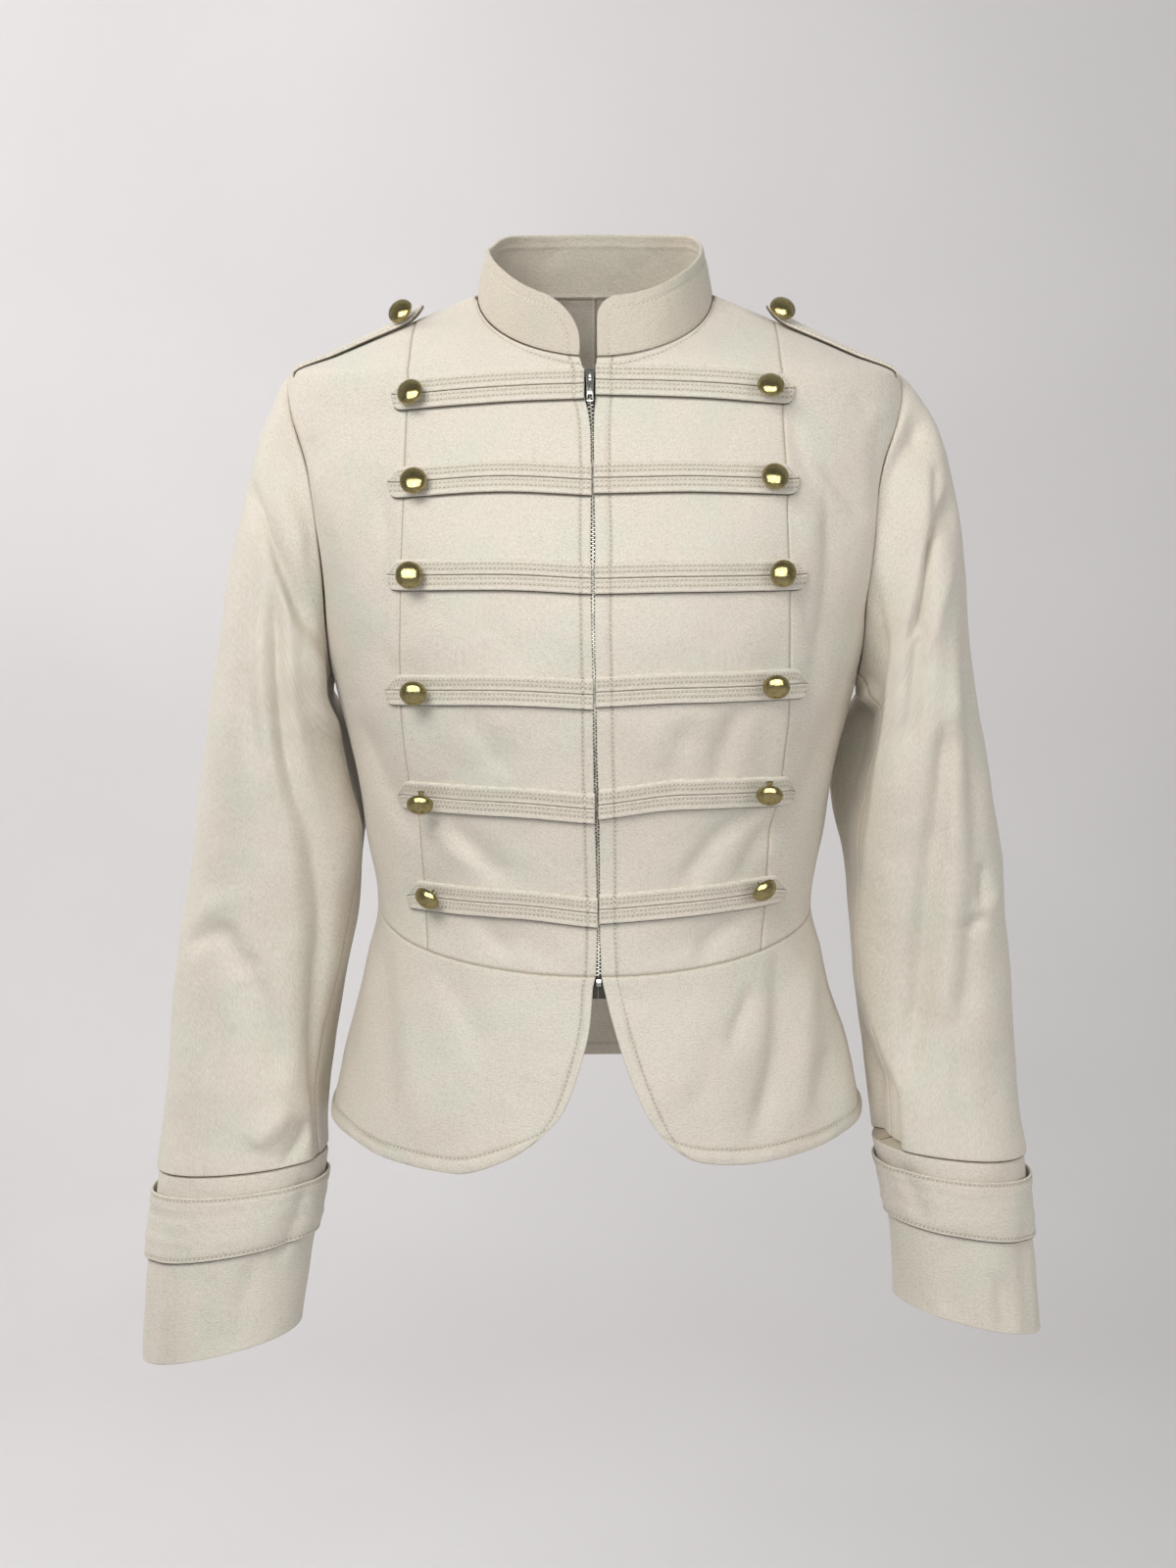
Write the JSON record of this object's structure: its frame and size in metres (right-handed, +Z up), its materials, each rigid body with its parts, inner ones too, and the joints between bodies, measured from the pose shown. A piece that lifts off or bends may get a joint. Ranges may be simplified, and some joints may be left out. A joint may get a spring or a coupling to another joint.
{
  "type": "zip-up jacket",
  "caption": "Cropped fitted jacket in pale cotton, worn open-necked form: stand collar, zip front, frog straps with domed buttons, epaulettes, flared peplum and banded cuffs.",
  "frame": {"origin": "base of the neck, midway between the two points where the neck and shoulder seams meet", "axes": "+Z up along the body; the jacket faces -Y; +X is the wearer's left"},
  "size_m": [0.561, 0.2351, 0.6915],
  "materials": {
    "cotton_sateen": "off-white cotton sateen twill, soft dull sheen",
    "antique_gold": "satin antique gold plate, darker towards the rim",
    "nickel_plate": "bright nickel plate",
    "zip_tape": "dark woven zip tape"
  },
  "bodies": {
    "jacket": {"back_left": "cotton_sateen", "back_right": "cotton_sateen", "button_epaulette_left": "antique_gold", "button_epaulette_right": "antique_gold", "button_left_1": "antique_gold", "button_left_2": "antique_gold", "button_left_3": "antique_gold", "button_left_4": "antique_gold", "button_left_5": "antique_gold", "button_left_6": "antique_gold", "button_right_1": "antique_gold", "button_right_2": "antique_gold", "button_right_3": "antique_gold", "button_right_4": "antique_gold", "button_right_5": "antique_gold", "button_right_6": "antique_gold", "collar": "cotton_sateen", "cuff_band_left": "cotton_sateen", "cuff_band_right": "cotton_sateen", "cuff_left": "cotton_sateen", "cuff_right": "cotton_sateen", "epaulette_left": "cotton_sateen", "epaulette_right": "cotton_sateen", "front_centre_left": "cotton_sateen", "front_centre_right": "cotton_sateen", "front_side_left": "cotton_sateen", "front_side_right": "cotton_sateen", "peplum_back": "cotton_sateen", "peplum_front_left": "cotton_sateen", "peplum_front_right": "cotton_sateen", "sleeve_under_left": "cotton_sateen", "sleeve_under_right": "cotton_sateen", "sleeve_upper_left": "cotton_sateen", "sleeve_upper_right": "cotton_sateen", "strap_left_1": "cotton_sateen", "strap_left_2": "cotton_sateen", "strap_left_3": "cotton_sateen", "strap_left_4": "cotton_sateen", "strap_left_5": "cotton_sateen", "strap_left_6": "cotton_sateen", "strap_right_1": "cotton_sateen", "strap_right_2": "cotton_sateen", "strap_right_3": "cotton_sateen", "strap_right_4": "cotton_sateen", "strap_right_5": "cotton_sateen", "strap_right_6": "cotton_sateen", "zip_box": "nickel_plate", "zip_slider": "nickel_plate", "zip_tape_left": "zip_tape", "zip_tape_right": "zip_tape"},
    "pull_tab": {"zip_pull": "nickel_plate"}
  },
  "joints": [
    {"name": "pull_tab_hinge", "type": "hinge", "parent": "jacket", "child": "pull_tab", "pos_m": [-0.00287, -0.07817, -0.0469], "axis": [-1, 0, 0], "range_deg": [0, 150]}
  ]
}
